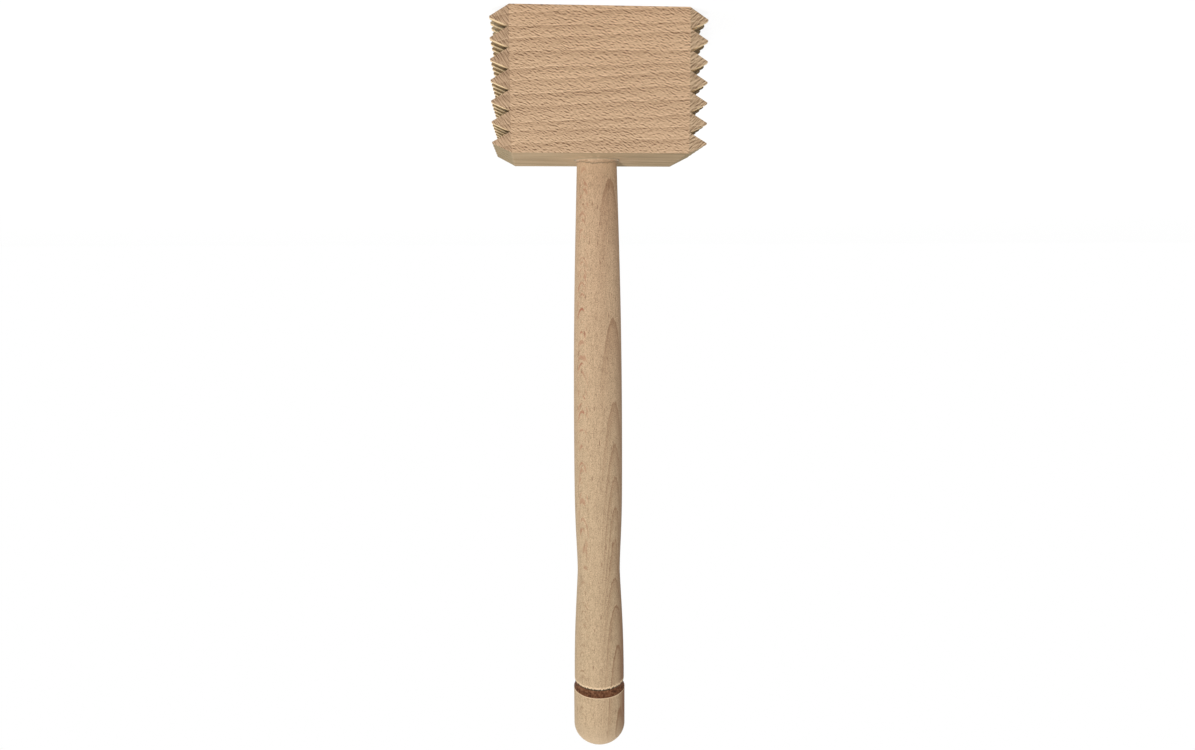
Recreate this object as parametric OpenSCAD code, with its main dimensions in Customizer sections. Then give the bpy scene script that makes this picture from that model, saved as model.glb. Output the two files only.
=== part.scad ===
// Wooden meat mallet: a toothed beech head on a turned beech handle.
// Millimetres. The mallet stands on the crown of its head with the handle straight up.
// X is the striking direction, from tooth field to tooth field, and Y runs from cheek to cheek.
// The origin is the middle of the crown.

/* [Head] */
// Length of the head from tooth tips to tooth tips
head_length = 87.4; // [70:0.1:120]
// Depth of the head from front cheek to back cheek
head_depth = 48; // [36:0.1:70]
// Height of the head from crown to underside
head_height = 56.4; // [44:0.1:80]

/* [Teeth] */
// Spacing of the V cuts, the same in both directions
tooth_pitch = 8; // [5:0.1:12]
// Depth of the V cuts between the teeth
tooth_depth = 7.5; // [3:0.1:10]
// Height of the small flat left on each tooth tip
tooth_land = 0.6; // [0.2:0.1:1.5]
// Length of that flat from cheek to cheek, which makes each tip a short ridge
tooth_ridge = 2.4; // [0.2:0.1:4]

/* [Handle] */
// Diameter of the neck where it leaves the head
neck_d = 17.3; // [14:0.1:22]
// Diameter of the swell that fills the palm
swell_d = 21.9; // [18:0.1:30]
// Diameter of the waist between swell and grip end
waist_d = 19.7; // [14:0.1:28]
// Diameter of the grip end just before the groove
grip_end_d = 23.4; // [18:0.1:32]
// Diameter of the butt, a plain cylinder
butt_d = 24.1; // [18:0.1:32]
// Length from the head to the fattest place of the swell
swell_rise = 129; // [80:1:200]
// Length from the fattest place of the swell to the waist
swell_fall = 57; // [30:1:100]
// Length from the waist to the groove
flare_length = 54.6; // [30:0.1:90]
// Length of the plain cylinder of the butt
butt_length = 18.6; // [10:0.1:40]
// Height of the butt's dome
dome_height = 9.6; // [4:0.1:12]

/* [Groove] */
// Width of the turned groove along the handle
groove_width = 3.4; // [1.6:0.1:6]
// Depth of the groove below the grip end
groove_depth = 0.8; // [0.4:0.1:2]
// Width of the groove's floor
groove_floor = 0.8; // [0.4:0.1:1.2]
// Thickness of the brown finish on the groove's floor
band_film = 0.2; // [0.1:0.05:0.3]

/* [Joint] */
// Width of the shoulder between neck and tenon
shoulder = 0.65; // [0.4:0.05:2]
// Gap between tenon and bore that the glue fills
glue_gap = 0.2; // [0.15:0.05:0.4]
// Room between the glue and the wood on either side of it
glue_room = 0.03; // [0.01:0.01:0.05]
// Height of the glue bead round the neck
bead_height = 1.7; // [0.5:0.1:3]
// Reach of the glue bead over the head's underside
bead_reach = 0.5; // [0.2:0.1:1.5]
// Distance of the tenon's end below the crown face
tenon_setback = 0.3; // [0.1:0.1:1]
// Length of the wedge
wedge_length = 32; // [15:0.5:38]
// Thickness of the wedge at the crown
wedge_butt = 3; // [2:0.1:5]
// Thickness of the wedge at its thin end
wedge_tip = 0.8; // [0.5:0.1:1.5]
// Room left in the kerf past the wedge's thin end
kerf_room = 1; // [0.5:0.1:3]

/* [Hidden] */
// Smoothness of round surfaces
$fn = 96;
// Number of straight steps in each curved stretch of the turned profile
turning_steps = 14;
// How early each stretch of the handle takes its curve: below 1 is early, above 1 is late
rise_bias = 0.6;
fall_bias = 2;
flare_bias = 0.65;
// Share of the groove's width that its steep wall takes
groove_wall = 0.1;
// Overcut that carries each cut clear of the surface
overcut = 1;
// Allowance for rounding when whole teeth are counted
count_allowance = 0.001;

tooth_rows = floor(head_height / tooth_pitch + count_allowance);
tooth_columns = floor(head_depth / tooth_pitch + count_allowance);

tenon_d = neck_d - 2 * shoulder;
bore_d = tenon_d + 2 * glue_gap;
tenon_length = head_height - tenon_setback;
wedge_end = tenon_setback + wedge_length;

swell_at = head_height + swell_rise;
waist_at = swell_at + swell_fall;
groove_at = waist_at + flare_length;
butt_at = groove_at + groove_width;
dome_at = butt_at + butt_length;

floor_d = grip_end_d - 2 * groove_depth;
wall_run = groove_wall * groove_width;
floor_from = groove_at + wall_run;
floor_to = floor_from + groove_floor;

light_beech = [0.80, 0.67, 0.53];
pale_beech = [0.80, 0.66, 0.51];
wedge_wood = [0.62, 0.45, 0.31];
dried_glue = [0.83, 0.73, 0.58];
brown_stain = [0.42, 0.26, 0.18];

// Share of a change of radius that is done at share t of a stretch
function eased(t, bias) = (1 - cos(180 * pow(t, bias))) / 2;

// Slope of the neck's side over the first step of the turned profile
neck_step = swell_rise / turning_steps;
neck_slope = (swell_d - neck_d) / 2 * eased(1 / turning_steps, rise_bias) / neck_step;

// Points of one turned stretch, from its first end up to, but without, its last
function stretch(from_d, to_d, from_z, to_z, bias) = [
    for (i = [0 : turning_steps - 1])
        let (t = i / turning_steps)
        [(from_d + (to_d - from_d) * eased(t, bias)) / 2, from_z + (to_z - from_z) * t]
];

// Points of the butt's dome, from its rim to its pole
function dome_points() = [
    for (i = [0 : turning_steps])
        let (a = 90 * i / turning_steps)
        [i == turning_steps ? 0 : butt_d / 2 * cos(a), dome_at + dome_height * sin(a)]
];

// Section of the V cuts across one end: x is the depth below the tips, y runs across the teeth
module tooth_cuts(teeth, span, land) {
    half_cut = (tooth_pitch - land) / 2;
    cut_slope = half_cut / tooth_depth;
    flank_over = overcut * cut_slope;
    for (gap = [1 : 1 : teeth - 1])
        translate([0, (gap - teeth / 2) * tooth_pitch])
            polygon([
                [-overcut, -half_cut - flank_over],
                [tooth_depth, 0],
                [-overcut, half_cut + flank_over]
            ]);
    land_edge = (teeth - 1) / 2 * tooth_pitch + land / 2;
    bevel_edge = span / 2 + overcut;
    for (side = [0, 1])
        mirror([0, side])
            polygon([
                [-overcut, land_edge - flank_over],
                [(bevel_edge - land_edge) / cut_slope, bevel_edge],
                [-overcut, bevel_edge]
            ]);
}

// Both directions of V cuts on the end at +X
module end_cuts() {
    translate([head_length / 2, 0, -overcut])
        mirror([1, 0, 0])
            linear_extrude(head_height + 2 * overcut)
                tooth_cuts(tooth_columns, head_depth, tooth_ridge);
    translate([head_length / 2, 0, head_height / 2])
        mirror([1, 0, 0])
            rotate([90, 0, 0])
                linear_extrude(head_depth + 2 * overcut, center = true)
                    tooth_cuts(tooth_rows, head_height, tooth_land);
}

// Tapered plate of the wedge, from a height at or below the tenon's end up to the wedge's thin end
module wedge_plate(from_z) {
    taper = (wedge_butt - wedge_tip) / wedge_length;
    from_half = (wedge_butt + taper * (tenon_setback - from_z)) / 2;
    rotate([90, 0, 0])
        linear_extrude(tenon_d + 2 * overcut, center = true)
            polygon([
                [-from_half, from_z],
                [from_half, from_z],
                [wedge_tip / 2, wedge_end],
                [-wedge_tip / 2, wedge_end]
            ]);
}

// Saw cut in the tenon, opened to the wedge's taper, with room past the thin end
module kerf() {
    wedge_plate(tenon_setback - overcut);
    translate([-wedge_tip / 2, -tenon_d / 2 - overcut, wedge_end - overcut])
        cube([wedge_tip, tenon_d + 2 * overcut, kerf_room + overcut]);
}

// One block, toothed on both ends and bored through for the tenon
module head_block() {
    color(light_beech)
        difference() {
            translate([-head_length / 2, -head_depth / 2, 0])
                cube([head_length, head_depth, head_height]);
            end_cuts();
            mirror([1, 0, 0]) end_cuts();
            translate([0, 0, -overcut])
                cylinder(d = bore_d, h = head_height + 2 * overcut);
        }
}

// Turned stick: kerfed tenon, shoulder, neck, swell, waist, flared grip end, groove and domed butt
module handle() {
    color(pale_beech)
        difference() {
            rotate_extrude()
                polygon(concat(
                    [[0, tenon_setback], [tenon_d / 2, tenon_setback], [tenon_d / 2, head_height]],
                    stretch(neck_d, swell_d, head_height, swell_at, rise_bias),
                    stretch(swell_d, waist_d, swell_at, waist_at, fall_bias),
                    stretch(waist_d, grip_end_d, waist_at, groove_at, flare_bias),
                    [[grip_end_d / 2, groove_at], [floor_d / 2, floor_from], [floor_d / 2, floor_to]],
                    [[butt_d / 2, butt_at]],
                    dome_points()
                ));
            kerf();
        }
}

// Wedge that spreads the tenon along the head's grain, trimmed to the tenon's round
module tenon_wedge() {
    color(wedge_wood)
        intersection() {
            translate([0, 0, tenon_setback])
                cylinder(d = tenon_d, h = wedge_length);
            wedge_plate(tenon_setback);
        }
}

// Thin sleeve of glue between tenon and bore
module glue_sleeve() {
    color(dried_glue)
        difference() {
            translate([0, 0, tenon_setback])
                cylinder(d = bore_d - 2 * glue_room, h = tenon_length);
            translate([0, 0, tenon_setback - overcut])
                cylinder(d = tenon_d + 2 * glue_room, h = tenon_length + 2 * overcut);
        }
}

// Glue squeezed out of the joint: a ring of triangular section between neck and underside
module glue_bead() {
    color(dried_glue)
        rotate_extrude()
            polygon([
                [neck_d / 2, head_height],
                [neck_d / 2 + bead_reach, head_height],
                [neck_d / 2 + bead_height * neck_slope, head_height + bead_height]
            ]);
}

// Brown finish on the floor and the long slope of the groove
module groove_band() {
    film_share = band_film / groove_depth;
    color(brown_stain)
        rotate_extrude()
            polygon([
                [floor_d / 2, floor_from],
                [floor_d / 2, floor_to],
                [butt_d / 2, butt_at],
                [floor_d / 2 + band_film, floor_to],
                [floor_d / 2 + band_film, floor_from - wall_run * film_share]
            ]);
}

head_block();
handle();
tenon_wedge();
glue_sleeve();
glue_bead();
groove_band();
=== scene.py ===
import math

import bmesh
import bpy
from mathutils import Matrix, Vector, noise


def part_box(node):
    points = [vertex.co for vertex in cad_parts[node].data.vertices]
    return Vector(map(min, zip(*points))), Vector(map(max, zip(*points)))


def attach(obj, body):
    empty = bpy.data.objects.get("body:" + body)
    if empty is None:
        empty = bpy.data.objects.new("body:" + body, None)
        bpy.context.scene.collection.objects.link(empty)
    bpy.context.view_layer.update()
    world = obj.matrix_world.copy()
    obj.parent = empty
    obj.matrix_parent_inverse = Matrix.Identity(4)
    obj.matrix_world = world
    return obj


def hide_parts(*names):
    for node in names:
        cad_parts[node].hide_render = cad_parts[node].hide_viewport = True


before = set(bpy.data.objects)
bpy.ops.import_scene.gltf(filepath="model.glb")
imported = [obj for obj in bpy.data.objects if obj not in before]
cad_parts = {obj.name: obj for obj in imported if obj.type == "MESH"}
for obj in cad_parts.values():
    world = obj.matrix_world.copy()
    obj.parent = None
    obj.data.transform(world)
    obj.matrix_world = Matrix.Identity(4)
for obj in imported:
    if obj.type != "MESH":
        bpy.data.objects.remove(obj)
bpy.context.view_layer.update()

MM = 0.001
MERGE_GAP = 0.001 * MM

# Places that the solid model gives
head_low, head_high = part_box("head_block")
handle_low, handle_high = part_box("handle")
wedge_low, wedge_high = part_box("tenon_wedge")
band_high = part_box("groove_band")[1]

# Head
TOOTH_PITCH = 8 * MM
TOOTH_DEPTH = 7.5 * MM
TOOTH_LAND = 0.6 * MM
TOOTH_RIDGE = 2.4 * MM
TOOTH_ROWS = 7
TOOTH_COLUMNS = 6
ARRIS = 0.081 * MM
ARRIS_STEPS = 2
ARRIS_ANGLE = math.radians(30)
BORE_RADIUS = 8.2 * MM
CLEAR = 1 * MM
SAME_PLANE = math.radians(0.5)
FLAT_ANGLE = math.radians(10)

# Half the side of a grid that is one unit wide
UNIT_GRID = 0.5

# How much of a face's normal lies along X on a sloped cut, and along Y or Z on a face turned that way
SLOPE_LEAST = 0.2
SLOPE_MOST = 0.9
TURNED_THERE = 0.6

head_top = head_high.z
head_root = head_high.x - TOOTH_DEPTH
head_middle = (head_low.z + head_high.z) / 2
row_slope = (TOOTH_PITCH - TOOTH_LAND) / 2 / TOOTH_DEPTH
column_slope = (TOOTH_PITCH - TOOTH_RIDGE) / 2 / TOOTH_DEPTH

# Handle
NECK_RADIUS = 8.65 * MM
SWELL_RADIUS = 10.95 * MM
WAIST_RADIUS = 9.85 * MM
GRIP_END_RADIUS = 11.7 * MM
SWELL_RISE = 129 * MM
SWELL_FALL = 57 * MM
DOME_HEIGHT = 9.6 * MM
RISE_BIAS = 0.6
FALL_BIAS = 2
FLARE_BIAS = 0.65
GROOVE_WIDTH = 3.4 * MM
GROOVE_DEPTH = 0.8 * MM
GROOVE_FLOOR = 0.8 * MM
GROOVE_WALL = 0.34 * MM
LIP_LENGTH = 1.2 * MM
LIP_ROUND = 0.3 * MM
TURNING_STEPS = 28
ROUND_STEPS = 96
SHARP_ANGLE = math.radians(25)

# Shares of the groove's rounded lip: how much is rounded off, and how much of its length is still ahead
LIP_SECTION = ((0, 1), (0.1, 0.6), (0.4, 0.25), (1, 0))

tenon_radius = wedge_high.y
butt_radius = band_high.x
swell_at = head_top + SWELL_RISE
waist_at = swell_at + SWELL_FALL
butt_at = band_high.z
groove_at = butt_at - GROOVE_WIDTH
dome_at = handle_high.z - DOME_HEIGHT
groove_radius = GRIP_END_RADIUS - GROOVE_DEPTH

# Wedge and glue
WEDGE_TIP = 0.8 * MM
KERF_ROOM = 1 * MM
BEAD_SUNK = 0.25 * MM
BEAD_FRONT = 2.6 * MM
BEAD_SIDE = 1.1 * MM
BEAD_RAGGED = 0.6 * MM
BEAD_STEPS = 288
TATTERS = 10
TATTER_DECLINE = 1.0
TATTER_SPLIT = 2.0
TATTER_LAYERS = 3

# How far the glue bead stands out from the neck, in millimetres, at shares of its height
BEAD_SECTION = ((1.2, 0), (0.6, 0.06), (0.224, 0.35), (0.16, 0.6), (0.144, 0.85))

# Camera, light and floor
PICTURE_WIDTH = 1195
FOCAL_PIXELS = 791.8
SENSOR_WIDTH = 36
CAMERA_PLACE = Vector((25.68, -352.16, 98.05)) * MM
CAMERA_TARGET = Vector((0.13, 0, 150.5)) * MM
CAMERA_ROLL = math.radians(179.713)
KEY_TARGET = Vector((0, 0, 120)) * MM
KEY_PLACE = Vector((656, -2752, 2948)) * MM
KEY_POWER = 71.0
KEY_SIZE = 0.2
KEY_TINT = (1.0, 0.96, 0.94)
AMBIENT = 0.55
AMBIENT_LEAN = (0.75, -0.2, 0.0)
AMBIENT_TINT = (0.99, 1.0, 0.99, 1.0)
WHITE = (1.0, 1.0, 1.0, 1.0)
FLOOR_REACH = 6.0
FLOOR_TONE = (0.8, 0.8, 0.8, 1.0)
FLOOR_ROUGHNESS = 0.9
FLOOR_GLOW = 1.08
FLOOR_GLOW_SHARE = 0.85

# Sockets of a node that mixes two colours
MIX_SHARE = 0
MIX_FIRST = 6
MIX_SECOND = 7
MIX_COLOUR = 2

# Patterns: the middle of a value from 0 to 1, the full part of a spindle, plain cells and plain axes
MIDDLE = 0.5
SPINDLE_HEART = 0.5
UNIT = (1, 1, 1)
PLAIN = ((0, 0, 0), (0, 0, 0))


def tone(red, green, blue):
    """A colour as it shows on a screen, 0 to 255, as the linear colour that a shader takes."""
    def linear(level):
        share = level / 255
        return share / 12.92 if share <= 0.04045 else ((share + 0.055) / 1.055) ** 2.4
    return linear(red), linear(green), linear(blue), 1.0


def cell(*sizes):
    """The size of one cell of a pattern, from millimetres."""
    return Vector(sizes) * MM


def log_turn(fibre, outward):
    """Turn of a log's axes: along its fibres, along a ring, and out from its pith."""
    along = Vector(fibre).normalized()
    ring = Vector(outward).cross(along).normalized()
    return Matrix((along, ring, along.cross(ring))).transposed().to_euler()


class Value:
    """What one socket gives. Sums and products of such values add Math nodes."""

    def __init__(self, nodes, socket):
        self.nodes = nodes
        self.socket = socket

    def math(self, operation, first, second=0.0):
        return self.nodes.add("Math", {"operation": operation}, {0: first, 1: second})

    def __add__(self, other):
        return self.math("ADD", self, other)

    def __radd__(self, other):
        return self.math("ADD", other, self)

    def __sub__(self, other):
        return self.math("SUBTRACT", self, other)

    def __rsub__(self, other):
        return self.math("SUBTRACT", other, self)

    def __mul__(self, other):
        return self.math("MULTIPLY", self, other)

    def __rmul__(self, other):
        return self.math("MULTIPLY", other, self)

    def __truediv__(self, other):
        return self.math("DIVIDE", self, other)

    def __rtruediv__(self, other):
        return self.math("DIVIDE", other, self)

    def most(self, other):
        return self.math("MAXIMUM", self, other)

    def root(self):
        return self.math("SQRT", self)

    def size(self):
        return self.math("ABSOLUTE", self)

    def part(self):
        """What is left after the whole number."""
        return self.math("FRACT", self)

    def swing(self):
        """How far a value from 0 to 1 lies above or below its middle."""
        return self - MIDDLE

    def rise(self, low, high):
        """0 below low, 1 above high, and a smooth step between them."""
        settings = {"interpolation_type": "SMOOTHSTEP"}
        return self.nodes.add("MapRange", settings, {"Value": self, "From Min": low, "From Max": high})


class Nodes:
    """A tree of shader nodes."""

    def __init__(self, tree):
        self.tree = tree

    def add(self, kind, settings, inputs, output=0):
        """Adds a node: its settings come first, because they decide which sockets it has."""
        node = self.tree.nodes.new("ShaderNode" + kind)
        for name, setting in settings.items():
            if name == "stops":
                self.set_stops(node.color_ramp, setting)
            else:
                setattr(node, name, setting)
        for name, value in inputs.items():
            self.feed(node.inputs[name], value)
        return Value(self, node.outputs[output])

    def set_stops(self, ramp, stops):
        first, last = ramp.elements
        first.position, first.color = stops[0]
        last.position, last.color = stops[-1]
        for level, colour in stops[1:-1]:
            ramp.elements.new(level).color = colour

    def feed(self, socket, value):
        if isinstance(value, Value):
            self.tree.links.new(value.socket, socket)
        else:
            socket.default_value = value

    def outputs(self, value):
        """Every output of the node that gives a value."""
        return [Value(self, output) for output in value.socket.node.outputs]

    def split(self, vector):
        return self.outputs(self.add("SeparateXYZ", {}, {"Vector": vector}))

    def mix(self, share, first, second, way="MIX"):
        settings = {"data_type": "RGBA", "blend_type": way}
        inputs = {MIX_SHARE: share, MIX_FIRST: first, MIX_SECOND: second}
        return self.add("Mix", settings, inputs, MIX_COLOUR)

    def ramp(self, value, stops):
        """A colour for each level of a value."""
        return self.add("ValToRGB", {"stops": stops}, {"Fac": value})


class Finish(Nodes):
    """A material made of nodes."""

    def __init__(self, name):
        self.material = bpy.data.materials.new(name)
        self.material.use_nodes = True
        super().__init__(self.material.node_tree)
        self.shader = self.tree.nodes["Principled BSDF"]
        self.place = self.add("TexCoord", {}, {}, "Object")

    def set(self, **inputs):
        """Feeds the shader. A socket's name is written with _ for each space."""
        for name, value in inputs.items():
            self.feed(self.shader.inputs[name.replace("_", " ")], value)

    def grain(self, cell_size, log=PLAIN):
        """Object coordinates counted in cells, from a log's pith and along its turned axes."""
        pith, turn = log
        inputs = {"Vector": self.place, "Location": pith, "Rotation": turn, "Scale": cell_size}
        return self.add("Mapping", {"vector_type": "TEXTURE"}, inputs)

    def cloud(self, vector, detail=2.0, roughness=0.5):
        """Soft noise from 0 to 1, one blotch for each unit of a vector."""
        inputs = {"Vector": vector, "Scale": 1.0, "Detail": detail, "Roughness": roughness}
        return self.add("TexNoise", {}, inputs)

    def figure(self, cell_size, log=PLAIN, **looks):
        """Soft noise from 0 to 1, one blotch for each cell of a log's grain."""
        return self.cloud(self.grain(cell_size, log), **looks)

    def spindles(self, vector, width):
        """One spindle in each cell, 1 at its heart and 0 outside, with a chance from 0 to 1."""
        cells = self.add("TexVoronoi", {}, {"Vector": vector, "Scale": 1.0}, "Distance")
        chance = self.split(self.outputs(cells)[1])[0]
        return 1.0 - cells.rise(width * SPINDLE_HEART, width), chance

    def marked(self, name):
        """The level that a named mark has on the mesh."""
        return self.add("Attribute", {"attribute_name": name}, {}, "Fac")

    def along(self, axis):
        """One object coordinate: X, Y or Z."""
        return self.add("SeparateXYZ", {}, {"Vector": self.place}, axis)

    def radius(self):
        """Distance from the handle's axis."""
        x = self.along("X")
        y = self.along("Y")
        return (x * x + y * y).root()

    def bump(self, height, strength, depth):
        self.set(Normal=self.add("Bump", {}, {"Height": height, "Strength": strength, "Distance": depth}))


# Beech of the head: its log, and the sizes of what its grain shows
HEAD_FIBRE = (1, -0.11, 0.035)
HEAD_PITH = Vector((-4, -28, 113)) * MM
HEAD_LOG = (HEAD_PITH, log_turn(HEAD_FIBRE, (0.04, 0.32, -0.95)))
HEAD_RING = 5.0 * MM
HEAD_WAVER = 0.9 * MM
HEAD_WAVER_CELL = cell(16, 5, 5)
HEAD_YEARS = 6 * MM
HEAD_YEARS_CELL = cell(90, 60, 8)
HEAD_RIPPLE = 0.4 * MM
HEAD_RIPPLE_CELL = cell(5, 1.2, 2)
HEAD_DRIFT_CELL = cell(30, 9, 9)
HEAD_BREAK_CELL = cell(6, 0.4, 3)
FLECK_TURN = log_turn(HEAD_FIBRE, (0.04, 0.276, -0.96))
FLECK_SHIFT = Vector((0, 0, 0.36)) * MM
FLECK_LOG = (HEAD_PITH, FLECK_TURN)
SHIFTED_LOG = (HEAD_PITH + FLECK_SHIFT, FLECK_TURN)
FLECK_CELL = cell(1.1, 0.16, 8)
SCORE_PITCH = 0.6 * MM
SCORE_WAVER = 1.5

# Where each mark of the head's grain begins and is full
RING_LINE = (0.0, 0.08)
RING_LINE_BREAK = (0.3, 0.6)
HEAD_LATE = (0.3, 1.0)
DARK_FLECK = (-0.3, -0.16)
SCORE_EDGE = (0.08, 0.3)
SCORE_BREAK = (0.25, 0.5)

# How strongly each mark of the head's grain shows
HEAD_LEVEL = 0.49
WEAVE_SHARE = 0.5
DRIFT_SHARE = 0.08
RING_LINE_SHARE = 0.25
HEAD_LATE_SHARE = 0.1
DARK_FLECK_SHARE = 0.19
SCORE_SHARE = 0.22
SCORE_MIDDLE = 0.3
HEAD_ROUGHNESS = 0.75
WEAVE_ROUGHNESS = 0.1
HEAD_GLOSS = 0.03
WEAVE_RELIEF = 0.6
FLECK_RELIEF = 0.3
HEAD_BUMP = 0.3
HEAD_BUMP_DEPTH = 0.15 * MM

HEAD_TONES = (
    (0.0, tone(107, 80, 60)),
    (0.3, tone(170, 139, 110)),
    (0.5, tone(207, 175, 143)),
    (0.7, tone(230, 198, 163)),
    (1.0, tone(252, 226, 192)),
)


def head_beech():
    """Rings round a far pith, short dark flecks across the cheeks, and painted light and shade on the
    teeth and underside.
    """
    finish = Finish("head beech")
    waver = finish.figure(HEAD_WAVER_CELL, HEAD_LOG)
    years = finish.figure(HEAD_YEARS_CELL, HEAD_LOG, detail=1.0)
    ripple = finish.figure(HEAD_RIPPLE_CELL, HEAD_LOG, detail=0.0)
    drift = finish.figure(HEAD_DRIFT_CELL, HEAD_LOG, detail=1.0)
    breaks = finish.figure(HEAD_BREAK_CELL, HEAD_LOG)
    across, deep = finish.split(finish.grain(UNIT, HEAD_LOG))[1:]
    out = (across * across + deep * deep).root()
    out = out + waver * HEAD_WAVER + years * HEAD_YEARS + ripple * HEAD_RIPPLE
    ring = (out / HEAD_RING).part()
    line = (1.0 - ring.rise(*RING_LINE)) * breaks.rise(*RING_LINE_BREAK)
    late = ring.rise(*HEAD_LATE)
    weave = finish.figure(FLECK_CELL, FLECK_LOG, detail=0.0)
    weave = weave - finish.figure(FLECK_CELL, SHIFTED_LOG, detail=0.0)
    flecks = 1.0 - weave.rise(*DARK_FLECK)
    drawn = (across / SCORE_PITCH + waver * SCORE_WAVER).part()
    scores = (1.0 - drawn.swing().size().rise(*SCORE_EDGE)) * breaks.rise(*SCORE_BREAK)
    level = HEAD_LEVEL + weave * WEAVE_SHARE + drift.swing() * DRIFT_SHARE
    level = level + line * RING_LINE_SHARE - late * HEAD_LATE_SHARE - flecks * DARK_FLECK_SHARE
    level = level - finish.marked("sawn") * (scores - SCORE_MIDDLE) * SCORE_SHARE
    colour = teeth_light_and_shade(finish, finish.ramp(level, HEAD_TONES))
    roughness = HEAD_ROUGHNESS + weave * WEAVE_ROUGHNESS
    finish.set(Base_Color=colour, Roughness=roughness, Specular_IOR_Level=HEAD_GLOSS)
    finish.bump(weave * WEAVE_RELIEF - flecks * FLECK_RELIEF, HEAD_BUMP, HEAD_BUMP_DEPTH)
    return finish


# Painted light and shade of the teeth: the end at +X faces the key light, the other end is turned from it
KEY_END_SAWN_SHADE = (0.79, 0.785, 0.79, 1.0)
FAR_END_SAWN_SHADE = (0.915, 0.96, 0.97, 1.0)
EDGE_HIGHLIGHT = tone(255, 230, 188)
TOOTH_SHADE = tone(139, 117, 84)
ROOT_SHADE = tone(54, 46, 30)
PALE_FROM = 1.9 * MM
PALE_TO = 3.1 * MM
DEEP_FROM = 4.2 * MM
SAWN_FADE = 0.2
ROOT_KEPT = 0.7
UNDERSIDE_SHARE = 0.8
LIT_EDGE_SHARE = 0.95
TOOTH_SHADE_SHARE = 0.85
ROOT_SHADE_SHARE = 0.95
ARRIS_SHARE = 0.22


def teeth_light_and_shade(finish, colour):
    """Sawn faces are darker; painted light along the outer edges of the flanks and on the arrises, and
    painted shade in the grooves, deepest at the roots.
    """
    x, y, z = finish.split(finish.place)
    depth = head_high.x - x.size()
    column = ((head_high.y - y.size()) / TOOTH_PITCH).part() * TOOTH_PITCH
    from_edge = column - (TOOTH_PITCH - TOOTH_RIDGE) / 2 + depth * column_slope
    deep = depth.rise(DEEP_FROM, TOOTH_DEPTH)
    toward_key = x.rise(-TOOTH_PITCH, 0.0)
    row_cut = finish.marked("row_cut")
    outermost = finish.marked("outermost")
    kept = 1.0 - deep * (1.0 - outermost * ROOT_KEPT)
    edge_light = 1.0 - from_edge.rise(PALE_FROM, PALE_TO)
    lit_edge = row_cut * kept * (edge_light * toward_key).most(outermost * (1.0 - toward_key))
    tooth_shade = (row_cut - lit_edge).most(finish.marked("column_cut"))
    # Sawn end grain is painted darker; the stronger darkening at the +X end, which faces the key light,
    # is painted shade, and the lighter teeth near the handle are painted light
    sawn = finish.marked("sawn") * (1.0 - z.rise(head_middle, head_top) * SAWN_FADE)
    colour = finish.mix(sawn, colour, finish.mix(toward_key, FAR_END_SAWN_SHADE, KEY_END_SAWN_SHADE), "MULTIPLY")
    # Faces marked as underside are painted darker and more olive, partly as painted shade
    colour = finish.mix(finish.marked("underside") * UNDERSIDE_SHARE, colour, underside_shading(finish))
    # Painted light along the lit outer edges of the row-cut flanks
    colour = finish.mix(lit_edge * LIT_EDGE_SHARE, colour, EDGE_HIGHLIGHT)
    # Painted shade in the grooves between the teeth, deepest at the roots
    colour = finish.mix(tooth_shade * TOOTH_SHADE_SHARE, colour, TOOTH_SHADE)
    colour = finish.mix(tooth_shade * deep * ROOT_SHADE_SHARE, colour, ROOT_SHADE)
    # Painted highlight on the softened arrises
    return finish.mix(finish.marked("arris") * ARRIS_SHARE, colour, EDGE_HIGHLIGHT)


# Underside of the head: painted darker and more olive than the cheeks, partly as painted shade, with pale
# creases round the neck that are wiped glue and painted light thrown back from the handle
UNDERSIDE_SHADE_TONE = tone(170, 149, 119)
UNDERSIDE_SHADE_TONES = (
    (0.0, tone(153, 136, 107)),
    (0.5, tone(175, 154, 123)),
    (1.0, tone(195, 173, 141)),
)
UNDER_BEVEL_SHADE = tone(161, 147, 118)
GLUE_AND_PAINTED_LIGHT = tone(226, 196, 162)
UNDERSIDE_LEVEL = 0.47
UNDERSIDE_LEAN = 0.25
UNDERSIDE_STREAKS = 2.0
UNDERSIDE_CELL = cell(40, 4, 4)
CREASES_AROUND = 2.2
PALE_REACH = 16 * MM
PALE_FILM = 0.1
PALE_CREASE = 0.35
CREASE_EDGE = (0.0, 0.07)


def underside_shading(finish):
    """Streaked wood, lighter towards +X, with pale creases round the neck from wiped glue and painted
    light, and bevels at both ends painted greyer as shade.
    """
    x = finish.along("X")
    y = finish.along("Y")
    radius = finish.radius()
    streaks = finish.figure(UNDERSIDE_CELL, HEAD_LOG)
    level = UNDERSIDE_LEVEL + x / head_high.x * UNDERSIDE_LEAN + streaks.swing() * UNDERSIDE_STREAKS
    colour = finish.ramp(level, UNDERSIDE_SHADE_TONES)
    around = finish.add("CombineXYZ", {}, {"X": x / radius * CREASES_AROUND, "Y": y / radius * CREASES_AROUND})
    creases = 1.0 - finish.cloud(around, detail=0.0).swing().size().rise(*CREASE_EDGE)
    # Painted light round the neck, laid out as creases of wiped glue
    near_neck = 1.0 - radius.rise(NECK_RADIUS, NECK_RADIUS + PALE_REACH)
    colour = finish.mix(near_neck * (PALE_FILM + creases * PALE_CREASE), colour, GLUE_AND_PAINTED_LIGHT)
    # Painted shade: the underside's bevels at both ends are greyer
    bevel = x.size().rise(head_root - TOOTH_LAND, head_root + TOOTH_LAND)
    return finish.mix(bevel, colour, UNDER_BEVEL_SHADE)


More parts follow.
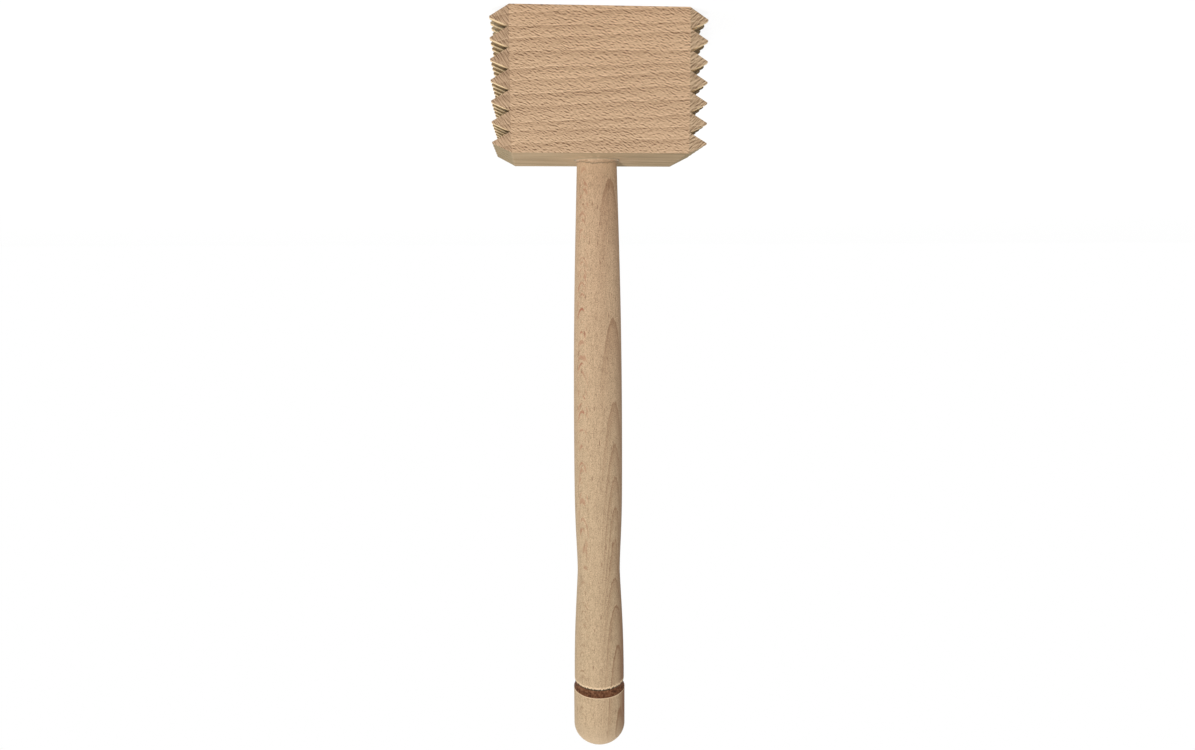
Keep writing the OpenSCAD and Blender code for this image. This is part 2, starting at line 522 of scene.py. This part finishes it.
# Beech of the handle: its log, and the distance of each ring's edge from the pith in millimetres
HANDLE_PITH = Vector((-21.4, -26.4, 191.4)) * MM
HANDLE_LOG = (HANDLE_PITH, log_turn((0.026, 0.0845, 1.0), (1, 1, 0)))
RING_EDGES = (2, 8, 12.7, 15.7, 18.1, 19.8, 20.8, 21.5, 22.6, 23.8, 25.5, 29, 35.6, 41, 46.5, 52, 58, 64)
HANDLE_TONES = (
    (0.0, tone(120, 98, 76)),
    (0.3, tone(166, 143, 115)),
    (0.5, tone(196, 171, 139)),
    (0.7, tone(214, 188, 154)),
    (1.0, tone(240, 214, 178)),
)
NECK_BLUSH = (1.09, 1.03, 1.04, 1.0)
FIBRE_CELL = cell(6, 0.42, 0.42)
SAND_CELL = cell(0.5, 0.36, 0.36)
STREAK_CELL = cell(16, 1.4, 1.4)
HANDLE_LEVEL = 0.5
FIBRE_SHARE = 0.22
STREAK_SHARE = 0.16
HANDLE_ROUGHNESS = 0.6
SAND_ROUGHNESS = 0.15
HANDLE_GLOSS = 0.12
SAND_RELIEF = 0.6
STREAK_RELIEF = 0.3
HANDLE_BUMP = 0.25
HANDLE_BUMP_DEPTH = 0.12 * MM


def handle_beech():
    """Sanded beech that the turning has cut into arches and arcs, a little redder towards the neck."""
    finish = Finish("handle beech")
    fibres = finish.figure(FIBRE_CELL, HANDLE_LOG, detail=0.0)
    sand = finish.figure(SAND_CELL, HANDLE_LOG, detail=1.0, roughness=0.6)
    streaks = finish.figure(STREAK_CELL, HANDLE_LOG)
    level = HANDLE_LEVEL + sand.swing() + fibres.swing() * FIBRE_SHARE + streaks.swing() * STREAK_SHARE
    # Redder towards the neck, and lighter there as well: the lightening is painted light
    blush = 1.0 - finish.along("Z").rise(head_top, waist_at)
    colour = finish.mix(blush, finish.ramp(level, HANDLE_TONES), NECK_BLUSH, "MULTIPLY")
    colour = arched_rings(finish, colour, fibres)
    colour = ray_arcs(finish, colour)
    colour = shaded_sides(finish, colour)
    colour = groove_lip_light_and_shade(finish, colour)
    roughness = HANDLE_ROUGHNESS + sand * SAND_ROUGHNESS
    finish.set(Base_Color=colour, Roughness=roughness, Specular_IOR_Level=HANDLE_GLOSS)
    finish.bump(sand * SAND_RELIEF + streaks * STREAK_RELIEF, HANDLE_BUMP, HANDLE_BUMP_DEPTH)
    return finish


# Rings of the handle, which show as arches where its side faces the pith
LATE_SHADE = (0.83, 0.78, 0.76, 1.0)
BROWN_RAY = tone(140, 106, 78)
PITH_REACH = math.hypot(HANDLE_PITH.x, HANDLE_PITH.y)
HANDLE_WAVER = 0.25 * MM
HANDLE_WAVER_CELL = cell(20, 2, 2)
FIBRE_WAVER = 0.2 * MM
ARCH_SIDE = (0.74, 0.99)
HANDLE_LATE = (0.2, 1.0)
RING_LEAST = 0.05
RING_FADE = 0.2
RING_OUTLINE = (0.9, 0.96)
OUTLINE_SHARE = 0.35
OUTLINE_GAIN = 0.35


def arched_rings(finish, colour, fibres):
    """Darkens the late wood of each ring, and draws a thin brown line at the ring's edge."""
    x, y, z = finish.split(finish.place)
    across, deep = finish.split(finish.grain(UNIT, HANDLE_LOG))[1:]
    waver = finish.figure(HANDLE_WAVER_CELL, HANDLE_LOG)
    out = (across * across + deep * deep).root() + waver.swing() * HANDLE_WAVER
    age = ring_share(finish, out + fibres.swing() * FIBRE_WAVER)
    toward_pith = x * (HANDLE_PITH.x / PITH_REACH) + y * (HANDLE_PITH.y / PITH_REACH)
    facing = (toward_pith / finish.radius()).size().rise(*ARCH_SIDE)
    shown = RING_LEAST + facing * (1 - RING_LEAST)
    shown = shown * (1.0 - z.rise(swell_at, butt_at) * RING_FADE)
    colour = finish.mix(age.rise(*HANDLE_LATE) * shown, colour, LATE_SHADE, "MULTIPLY")
    outline = OUTLINE_SHARE + z.rise(swell_at, waist_at) * OUTLINE_GAIN
    return finish.mix(age.rise(*RING_OUTLINE) * facing * outline, colour, BROWN_RAY)


def ring_share(finish, out):
    """How far out a place lies between the edges of its ring, from 0 to 1."""
    count = len(RING_EDGES) - 1
    reach = RING_EDGES[-1] - RING_EDGES[0]
    steps = []
    for number, edge in enumerate(RING_EDGES):
        share = number / count
        steps.append(((edge - RING_EDGES[0]) / reach, (share, share, share, 1.0)))
    age = finish.ramp((out / MM - RING_EDGES[0]) / reach, steps) * count
    return age.part()


# Rays of the handle, strongest on the side a quarter turn from the arches, and its dark pores
RAY_LOG = (HANDLE_PITH, log_turn((0.009, 0.101, 1.0), (1, 1, 0)))
RED_RAY = tone(168, 106, 82)
DARK_PORE = tone(122, 86, 62)
DIAGONAL = math.sqrt(0.5)
QUARTER_SIDE = (0.94, 0.99)
SHEET_CELL = cell(5, 0.14, 4)
SHEET_EDGE = (0.58, 0.7)
STRONG_CELL = cell(10, 0.4, 10)
STRONG_EDGE = (0.56, 0.74)
RAY_SHARE = 0.42
STRONG_GAIN = 0.4
RAY_LEAST = 0.12
RAY_FADE = 0.35
PORE_CELL = cell(8, 1.2, 1.2)
PORE_WIDTH = 0.23
PORE_LUCK = (0.55, 0.8)
PORE_SHARE = 0.7


def ray_arcs(finish, colour):
    """Thin sheets of ray that the round of the handle cuts into arcs, and a few dark pores."""
    x, y, z = finish.split(finish.place)
    toward_butt = z.rise(swell_at, groove_at)
    quarter = ((x - y) / finish.radius() * DIAGONAL).rise(*QUARTER_SIDE)
    sheets = finish.figure(SHEET_CELL, RAY_LOG, detail=0.0).rise(*SHEET_EDGE)
    strong = finish.figure(STRONG_CELL, RAY_LOG, detail=0.0).rise(*STRONG_EDGE)
    rays = sheets * (RAY_SHARE + strong * STRONG_GAIN) * (RAY_LEAST + quarter * (1 - RAY_LEAST))
    ray_tone = finish.mix(toward_butt, RED_RAY, BROWN_RAY)
    colour = finish.mix(rays * (1.0 - toward_butt * RAY_FADE), colour, ray_tone)
    pores, luck = finish.spindles(finish.grain(PORE_CELL, HANDLE_LOG), PORE_WIDTH)
    return finish.mix(pores * luck.rise(*PORE_LUCK) * PORE_SHARE, colour, DARK_PORE)


# Painted light and shade of the handle: painted shade towards -X and across the front, painted light on
# the dome, and a pale band at the foot of the neck that is glue and painted light
RED_SIDE = tone(146, 109, 84)
DOME_LIGHT = tone(200, 178, 149)
DARK_SIDE = (0.6, 1.0)
FRONT_SHADE_SPAN = (-0.7, 0.2)
FRONT_END = (0.1, 0.6)
SWELL_SIDE_SHARE = 0.35
GRIP_SIDE_SHARE = 0.6
SWELL_FRONT_SHARE = 0.1
NECK_FRONT_SHARE = 0.18
DOME_LIGHT_SHARE = 0.7
NECK_LIGHT_FROM = 2 * MM
NECK_LIGHT_TO = 9 * MM
NECK_LIGHT_SHARE = 0.4


def shaded_sides(finish, colour):
    """Painted shade on the -X side and across the front, painted light on the dome, and glue with painted
    light at the foot of the neck.
    """
    z = finish.along("Z")
    sideways = finish.along("X") / finish.radius() * -1.0
    on_swell = z.rise(head_top, swell_at)
    on_grip = z.rise(waist_at, butt_at)
    # Painted shade on the side turned from the key light, and across the middle of the front
    side = sideways.rise(*DARK_SIDE) * (on_swell * SWELL_SIDE_SHARE + on_grip * GRIP_SIDE_SHARE)
    front = sideways.rise(*FRONT_SHADE_SPAN)
    neck = (front - sideways.rise(*FRONT_END)) * (1.0 - on_swell)
    side_shade = side + front * on_swell * SWELL_FRONT_SHARE + neck * NECK_FRONT_SHARE
    colour = finish.mix(side_shade, colour, RED_SIDE)
    # Painted light on the dome
    on_dome = z.rise(dome_at - DOME_HEIGHT, handle_high.z)
    colour = finish.mix(on_dome * DOME_LIGHT_SHARE, colour, DOME_LIGHT)
    # Painted light at the foot of the neck under the head, drawn as a glue smear
    neck_light = 1.0 - z.rise(head_top + NECK_LIGHT_FROM, head_top + NECK_LIGHT_TO)
    return finish.mix(neck_light * NECK_LIGHT_SHARE, colour, GLUE_AND_PAINTED_LIGHT)


# Groove of the handle: distances before it at which the painted highlight on the lip and the painted
# shade after it begin and are full
GROOVE_SHADE = tone(66, 54, 38)
GROOVE_LIP_HIGHLIGHT = tone(232, 204, 168)
LIP_FROM = 1.96 * MM
LIP_FULL = 1.4 * MM
LIP_SHADE_FROM = 0.98 * MM
LIP_SHADE_FULL = 0.56 * MM
BUTT_EDGE = 0.7 * MM
SPLINTER_CELL = cell(0.4, 0.4, 6)
SPLINTER_LENGTH = 1.6 * MM
LIP_HIGHLIGHT_SHARE = 0.9


def groove_lip_light_and_shade(finish, colour):
    """A painted highlight along the groove's lip, and painted shade between it and the groove, both
    ragged like torn fibres.
    """
    z = finish.along("Z")
    splinters = finish.figure(SPLINTER_CELL, detail=0.0)
    torn = z + splinters.swing() * SPLINTER_LENGTH
    # Painted highlight along the lip
    lip_highlight = torn.rise(groove_at - LIP_FROM, groove_at - LIP_FULL)
    lip_highlight = lip_highlight * (1.0 - z.rise(butt_at, butt_at + BUTT_EDGE))
    colour = finish.mix(lip_highlight * LIP_HIGHLIGHT_SHARE, colour, GROOVE_LIP_HIGHLIGHT)
    # Painted shade just before the groove
    lip_shade = torn.rise(groove_at - LIP_SHADE_FROM, groove_at - LIP_SHADE_FULL)
    lip_shade = lip_shade * (1.0 - z.rise(butt_at - BUTT_EDGE, butt_at))
    return finish.mix(lip_shade, colour, GROOVE_SHADE)


# Dried glue
GLUE_TONES = ((0.25, tone(166, 136, 106)), (0.5, tone(199, 168, 136)), (0.75, tone(222, 193, 160)))
GLUE_RIM_SHADE = tone(120, 103, 76)
GLUE_CELL = cell(1.1, 1.1, 0.7)
GLUE_FOOT = (0.05, 0.35)
RIM_SHADE_EDGE = (0.62, 0.8)
RIM_SHADE_WAVER = 0.6
RIM_SHADE_SHARE = 0.8
GLUE_ROUGHNESS = 0.5
LUMP_ROUGHNESS = 0.2
GLUE_GLOSS = 0.35
GLUE_BUMP = 0.5
GLUE_BUMP_DEPTH = 0.2 * MM


def dried_glue():
    """Pale glue that thins out on the underside, with a painted shadow line along its ragged rim."""
    finish = Finish("dried glue")
    lumps = finish.figure(GLUE_CELL, detail=3.0, roughness=0.6)
    rim = finish.marked("rim")
    # Painted shadow along the glue's lower rim, where it meets the neck
    rim_shade = (rim + lumps.swing() * RIM_SHADE_WAVER).rise(*RIM_SHADE_EDGE)
    colour = finish.mix(1.0 - rim.rise(*GLUE_FOOT), finish.ramp(lumps, GLUE_TONES), UNDERSIDE_SHADE_TONE)
    colour = finish.mix(rim_shade * RIM_SHADE_SHARE, colour, GLUE_RIM_SHADE)
    roughness = GLUE_ROUGHNESS + lumps * LUMP_ROUGHNESS
    finish.set(Base_Color=colour, Roughness=roughness, Specular_IOR_Level=GLUE_GLOSS)
    finish.bump(lumps, GLUE_BUMP, GLUE_BUMP_DEPTH)
    return finish


# Wedge wood
WEDGE_TONES = ((0.25, tone(116, 80, 54)), (0.5, tone(156, 116, 82)), (0.75, tone(184, 146, 108)))
WEDGE_PORE_CELL = cell(0.35, 0.35, 6)
WEDGE_RING_CELL = cell(0.9, 4, 30)
WEDGE_PORE_SHARE = 0.6
WEDGE_RING_SHARE = 0.4
WEDGE_ROUGHNESS = 0.6
WEDGE_PORE_ROUGHNESS = 0.2
WEDGE_BUMP = 0.3
WEDGE_BUMP_DEPTH = 0.15 * MM


def wedge_wood():
    """Darker hardwood, sawn across its end grain."""
    finish = Finish("wedge wood")
    pores = finish.figure(WEDGE_PORE_CELL, detail=3.0, roughness=0.6)
    rings = finish.figure(WEDGE_RING_CELL)
    colour = finish.ramp(pores * WEDGE_PORE_SHARE + rings * WEDGE_RING_SHARE, WEDGE_TONES)
    finish.set(Base_Color=colour, Roughness=WEDGE_ROUGHNESS + pores * WEDGE_PORE_ROUGHNESS)
    finish.bump(pores, WEDGE_BUMP, WEDGE_BUMP_DEPTH)
    return finish


# Brown stain
STAIN_TONES = ((0.3, tone(60, 37, 24)), (0.5, tone(110, 71, 48)), (0.7, tone(150, 107, 78)))
SOAK_CELL = cell(1.4, 1.4, 1.2)
STAIN_PORE_CELL = cell(0.7, 0.7, 0.9)
SOAK_SHARE = 0.6
STAIN_PORE_SHARE = 0.4
STAIN_ROUGHNESS = 0.6
SOAK_ROUGHNESS = 0.2
STAIN_GLOSS = 0.12
STAIN_BUMP = 0.3
STAIN_BUMP_DEPTH = 0.1 * MM


def brown_stain():
    """Stain that has sunk into the turned groove unevenly."""
    finish = Finish("brown stain")
    soak = finish.figure(SOAK_CELL, detail=1.0, roughness=0.6)
    pores = finish.figure(STAIN_PORE_CELL, detail=1.0)
    colour = finish.ramp(soak * SOAK_SHARE + pores * STAIN_PORE_SHARE, STAIN_TONES)
    roughness = STAIN_ROUGHNESS + soak * SOAK_ROUGHNESS
    finish.set(Base_Color=colour, Roughness=roughness, Specular_IOR_Level=STAIN_GLOSS)
    finish.bump(pores, STAIN_BUMP, STAIN_BUMP_DEPTH)
    return finish


def add_to_scene(thing):
    bpy.context.scene.collection.objects.link(thing)


def new_piece(name, shape, *finishes):
    """Makes a finished shape an object of the scene."""
    mesh = bpy.data.meshes.new(name)
    shape.to_mesh(mesh)
    shape.free()
    for finish in finishes:
        mesh.materials.append(finish.material)
    piece = bpy.data.objects.new(name, mesh)
    add_to_scene(piece)
    return piece


def carve(piece, cutter):
    """Cuts one shape out of a piece."""
    tool = new_piece(piece.name + "_cutter", cutter)
    cut = piece.modifiers.new("cut", "BOOLEAN")
    cut.object = tool
    cut.operation = "DIFFERENCE"
    cut.solver = "EXACT"
    graph = bpy.context.evaluated_depsgraph_get()
    carved = bpy.data.meshes.new_from_object(piece.evaluated_get(graph))
    piece.modifiers.clear()
    piece.data = carved
    bpy.data.objects.remove(tool)


def smooth_all(mesh):
    mesh.polygons.foreach_set("use_smooth", [True] * len(mesh.polygons))


def turned(profile, steps=ROUND_STEPS):
    """Spins an outline of (radius, height) points round the handle's axis."""
    shape = bmesh.new()
    points = [shape.verts.new((radius, 0, height)) for radius, height in profile]
    lines = [shape.edges.new(pair) for pair in zip(points, points[1:])]
    bmesh.ops.spin(
        shape, geom=points + lines, axis=(0, 0, 1), cent=(0, 0, 0),
        angle=2 * math.pi, steps=steps, use_merge=True,
    )
    bmesh.ops.remove_doubles(shape, verts=shape.verts, dist=MERGE_GAP)
    bmesh.ops.recalc_face_normals(shape, faces=shape.faces)
    return shape


def eased(share, bias):
    """Share of a change of radius that is done at a share of a stretch."""
    return (1 - math.cos(math.pi * share ** bias)) / 2


def stretch(from_radius, to_radius, from_z, to_z, bias):
    """Points of one turned stretch, without its last."""
    shares = [step / TURNING_STEPS for step in range(TURNING_STEPS)]
    return [
        (from_radius + (to_radius - from_radius) * eased(share, bias), from_z + (to_z - from_z) * share)
        for share in shares
    ]


def dome():
    """Points of the butt's dome, from its rim to its pole."""
    angles = [math.pi / 2 * step / TURNING_STEPS for step in range(TURNING_STEPS)]
    points = [
        (butt_radius * math.cos(angle), dome_at + DOME_HEIGHT * math.sin(angle)) for angle in angles
    ]
    return points + [(0, handle_high.z)]


def head_shape():
    """Half a block with one toothed end, mirrored to the other end."""
    shape = bmesh.new()
    across = TOOTH_COLUMNS * TOOTH_PITCH
    upright = TOOTH_ROWS * TOOTH_PITCH
    stand = Matrix((
        (0, 0, 1, head_root),
        (across, 0, 0, 0),
        (0, upright, 0, head_middle),
        (0, 0, 0, 1),
    ))
    bmesh.ops.create_grid(
        shape, x_segments=TOOTH_COLUMNS, y_segments=TOOTH_ROWS, size=UNIT_GRID, matrix=stand
    )
    bases = list(shape.faces)
    middles = [base.calc_center_median() for base in bases]
    margin = head_high.z - head_middle - upright / 2
    for corner in shape.verts:
        from_middle = corner.co.z - head_middle
        if abs(from_middle) > upright / 2 - TOOTH_LAND:
            corner.co.z += math.copysign(margin, from_middle)
            corner.co.x -= margin / row_slope
    tips = bmesh.ops.extrude_discrete_faces(shape, faces=bases)["faces"]
    for tip, middle in zip(tips, middles):
        for corner in tip.verts:
            corner.co.y = middle.y + math.copysign(TOOTH_RIDGE / 2, corner.co.y - middle.y)
            corner.co.z = middle.z + math.copysign(TOOTH_LAND / 2, corner.co.z - middle.z)
            corner.co.x = head_high.x
    border = [edge for edge in shape.edges if edge.is_boundary]
    sides = bmesh.ops.extrude_edge_only(shape, edges=border)["geom"]
    for part in sides:
        if isinstance(part, bmesh.types.BMVert):
            part.co.x = 0
    bmesh.ops.mirror(
        shape, geom=list(shape.verts) + list(shape.edges) + list(shape.faces),
        matrix=Matrix.Identity(4), merge_dist=MERGE_GAP, axis="X",
    )
    bmesh.ops.remove_doubles(shape, verts=shape.verts, dist=MERGE_GAP)
    bmesh.ops.recalc_face_normals(shape, faces=shape.faces)
    return shape


def bore_cutter():
    shape = bmesh.new()
    middle = Matrix.Translation((0, 0, head_middle))
    bmesh.ops.create_cone(
        shape, cap_ends=True, segments=ROUND_STEPS, radius1=BORE_RADIUS, radius2=BORE_RADIUS,
        depth=head_high.z - head_low.z + 2 * CLEAR, matrix=middle,
    )
    return shape


def mark_cuts(shape, side_shade):
    """Marks each face of the head with the cut that made it."""
    names = ("sawn", "row_cut", "column_cut", "outermost", "underside", "arris")
    marks = {name: shape.faces.layers.float.new(name) for name in names}
    last_row = (TOOTH_ROWS - 1) / 2 * TOOTH_PITCH
    last_column = (TOOTH_COLUMNS - 1) / 2 * TOOTH_PITCH
    for face in shape.faces:
        middle = face.calc_center_median()
        sloped = SLOPE_LEAST < abs(face.normal.x) < SLOPE_MOST
        upright = sloped and abs(face.normal.z) > TURNED_THERE
        sideways = sloped and abs(face.normal.y) > TURNED_THERE
        outer_row = abs(middle.z - head_middle) > last_row + TOOTH_LAND
        end_row = abs(middle.z - head_middle) > last_row - TOOTH_LAND
        outer_column = abs(middle.y) > last_column + TOOTH_LAND
        end_column = abs(middle.y) > last_column - TOOTH_LAND
        if face in side_shade:
            face[marks["arris"]] = 1.0
        elif upright and not outer_row:
            face[marks["row_cut"]] = 1.0
            face[marks["outermost"]] = 1.0 if end_column else 0.0
        elif sideways:
            inner = not outer_column
            face[marks["sawn"]] = 0.0 if inner and end_row else 1.0
            face[marks["underside"]] = 1.0 if inner and end_row else 0.0
            face[marks["column_cut"]] = 1.0 if inner and not end_row else 0.0
        elif face.normal.z > TURNED_THERE:
            face[marks["underside"]] = 1.0


def soften_head(piece):
    """Takes the sharpness off the arrises and keeps the result inside the block.

    Edges along the middle stay when flat faces are merged, so that no face has to close round the bore.
    """
    shape = bmesh.new()
    shape.from_mesh(piece.data)
    off_middle = [
        edge for edge in shape.edges
        if any(abs(corner.co.y) > MERGE_GAP for corner in edge.verts)
    ]
    bmesh.ops.dissolve_limit(shape, angle_limit=SAME_PLANE, verts=shape.verts, edges=off_middle)
    arrises = [
        edge for edge in shape.edges
        if edge.is_manifold and edge.calc_face_angle_signed() > ARRIS_ANGLE
    ]
    side_shade = set(bmesh.ops.bevel(
        shape, geom=arrises, offset=ARRIS, segments=ARRIS_STEPS, profile=0.5,
        affect="EDGES", material=-1, clamp_overlap=True,
    )["faces"])
    for corner in shape.verts:
        corner.co.z = min(max(corner.co.z, head_low.z), head_high.z)
    shape.normal_update()
    mark_cuts(shape, side_shade)
    for face in shape.faces:
        face.smooth = True
    for edge in shape.edges:
        flat = edge.is_manifold and edge.calc_face_angle() < FLAT_ANGLE
        edge.smooth = flat or any(face in side_shade for face in edge.link_faces)
    shape.to_mesh(piece.data)
    shape.free()


def make_head(finish):
    """One block, toothed on both ends and bored through for the tenon."""
    piece = new_piece("beech_head", head_shape(), finish)
    carve(piece, bore_cutter())
    soften_head(piece)
    piece.modifiers.new("flat faces", "WEIGHTED_NORMAL").keep_sharp = True
    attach(piece, "root")
    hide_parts("head_block")


def kerf_cutter():
    """Tapered slot for the wedge, with room past the wedge's thin end."""
    shape = bmesh.new()
    half_tip = WEDGE_TIP / 2
    taper = (wedge_high.x - half_tip) / (wedge_high.z - wedge_low.z)
    half_mouth = wedge_high.x + taper * CLEAR
    outline = [
        (half_mouth, wedge_low.z - CLEAR),
        (half_tip, wedge_high.z),
        (half_tip, wedge_high.z + KERF_ROOM),
        (-half_tip, wedge_high.z + KERF_ROOM),
        (-half_tip, wedge_high.z),
        (-half_mouth, wedge_low.z - CLEAR),
    ]
    reach = tenon_radius + CLEAR
    face = shape.faces.new([shape.verts.new((x, -reach, z)) for x, z in outline])
    moved = bmesh.ops.extrude_face_region(shape, geom=[face])["geom"]
    corners = [part for part in moved if isinstance(part, bmesh.types.BMVert)]
    bmesh.ops.translate(shape, verts=corners, vec=(0, 2 * reach, 0))
    bmesh.ops.recalc_face_normals(shape, faces=shape.faces)
    return shape


def make_handle(finish):
    """Turned stick: kerfed tenon, neck, swell, waist, flared grip end, groove and domed butt."""
    profile = [(0, handle_low.z), (tenon_radius, handle_low.z), (tenon_radius, head_top)]
    profile += stretch(NECK_RADIUS, SWELL_RADIUS, head_top, swell_at, RISE_BIAS)
    profile += stretch(SWELL_RADIUS, WAIST_RADIUS, swell_at, waist_at, FALL_BIAS)
    profile += stretch(WAIST_RADIUS, GRIP_END_RADIUS, waist_at, groove_at - LIP_LENGTH, FLARE_BIAS)
    profile += [
        (GRIP_END_RADIUS - LIP_ROUND * rounded, groove_at - LIP_LENGTH * ahead)
        for rounded, ahead in LIP_SECTION
    ]
    profile += [
        (groove_radius, groove_at + GROOVE_WALL),
        (groove_radius, groove_at + GROOVE_WALL + GROOVE_FLOOR),
        (butt_radius, butt_at),
    ]
    profile += dome()
    piece = new_piece("beech_handle", turned(profile), finish)
    carve(piece, kerf_cutter())
    smooth_all(piece.data)
    piece.data.set_sharp_from_angle(angle=SHARP_ANGLE)
    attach(piece, "root")
    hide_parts("handle")


def bead_height(around):
    """Height of the bead in a direction from the axis: most at the front, and ragged all round."""
    toward_front = max(0.0, -around.y)
    height = BEAD_SIDE + (BEAD_FRONT - BEAD_SIDE) * toward_front ** 2
    tatter = noise.fractal(around * TATTERS, TATTER_DECLINE, TATTER_SPLIT, TATTER_LAYERS)
    return height + BEAD_RAGGED * tatter


def make_bead(finish):
    """Glue that was pressed out of the joint and wiped round the neck, with a ragged rim."""
    sunk = NECK_RADIUS - BEAD_SUNK
    outline = [(sunk, 0)]
    outline += [(NECK_RADIUS + reach * MM, share) for reach, share in BEAD_SECTION]
    outline += [(sunk, 1), (sunk, 0)]
    shape = turned([(radius, head_top + share) for radius, share in outline], BEAD_STEPS)
    rim = shape.verts.layers.float.new("rim")
    for point in shape.verts:
        share = point.co.z - head_top
        around = Vector((point.co.x, point.co.y, 0)).normalized()
        point.co.z = head_top + share * bead_height(around)
        point[rim] = share
    piece = new_piece("glue_ring", shape, finish)
    smooth_all(piece.data)
    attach(piece, "root")
    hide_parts("glue_bead")


def dress_nodes(wedge, glue, stain):
    """Gives the pieces that stay as the solid model has them their finishes."""
    for node, finish in (("tenon_wedge", wedge), ("glue_sleeve", glue), ("groove_band", stain)):
        node_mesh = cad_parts[node].data
        node_mesh.materials.clear()
        node_mesh.materials.append(finish.material)


def aimed(place, target, roll=0.0):
    """Where a camera or light stands to look at a target."""
    look = (target - place).to_track_quat("-Z", "Y").to_matrix()
    turn = look @ Matrix.Rotation(roll, 3, "Z")
    return Matrix.Translation(place) @ turn.to_4x4()


def make_camera():
    data = bpy.data.cameras.new("camera")
    data.sensor_width = SENSOR_WIDTH
    data.lens = FOCAL_PIXELS / PICTURE_WIDTH * SENSOR_WIDTH
    camera = bpy.data.objects.new("camera", data)
    camera.matrix_world = aimed(CAMERA_PLACE, CAMERA_TARGET, CAMERA_ROLL)
    add_to_scene(camera)
    bpy.context.scene.camera = camera


def make_key_light():
    data = bpy.data.lights.new("key", "AREA")
    data.size = KEY_SIZE
    data.energy = KEY_POWER
    data.color = KEY_TINT
    light = bpy.data.objects.new("key", data)
    light.matrix_world = aimed(KEY_PLACE, KEY_TARGET)
    add_to_scene(light)


def seen(nodes):
    """1 where the camera, a mirror or glass looks, and 0 for light that falls on the mallet."""
    path = nodes.add("LightPath", {}, {}, "Is Camera Ray")
    for output in nodes.outputs(path):
        if output.socket.name in ("Is Glossy Ray", "Is Transmission Ray"):
            path = path.most(output)
    return path


def make_world():
    """Light from all round, strongest from +X, with white for what the camera sees."""
    world = bpy.data.worlds.new("studio")
    bpy.context.scene.world = world
    world.use_nodes = True
    studio = Nodes(world.node_tree)
    toward = studio.add("TexCoord", {}, {}, "Generated")
    lean = studio.add("VectorMath", {"operation": "DOT_PRODUCT"}, {0: toward, 1: AMBIENT_LEAN}, "Value")
    level = (1.0 + lean) * AMBIENT
    ambient = studio.add("Background", {}, {"Color": AMBIENT_TINT, "Strength": level})
    white = studio.add("Background", {}, {"Color": WHITE, "Strength": 1.0})
    sky = studio.add("MixShader", {}, {0: seen(studio), 1: ambient, 2: white})
    studio.feed(world.node_tree.nodes["World Output"].inputs["Surface"], sky)


def make_floor():
    """A pale floor that looks white but still takes a faint shadow."""
    shape = bmesh.new()
    bmesh.ops.create_grid(shape, x_segments=1, y_segments=1, size=FLOOR_REACH)
    finish = Finish("white floor")
    finish.set(Base_Color=FLOOR_TONE, Roughness=FLOOR_ROUGHNESS)
    glow = finish.add("Emission", {}, {"Color": WHITE, "Strength": FLOOR_GLOW})
    matt = Value(finish, finish.shader.outputs[0])
    both = finish.add("MixShader", {}, {0: seen(finish) * FLOOR_GLOW_SHARE, 1: matt, 2: glow})
    finish.feed(finish.tree.nodes["Material Output"].inputs["Surface"], both)
    floor = new_piece("floor", shape, finish)


make_head(head_beech())
make_handle(handle_beech())
glue = dried_glue()
make_bead(glue)
dress_nodes(wedge_wood(), glue, brown_stain())
make_camera()
make_key_light()
make_world()
make_floor()
bpy.context.scene.view_settings.view_transform = "Standard"
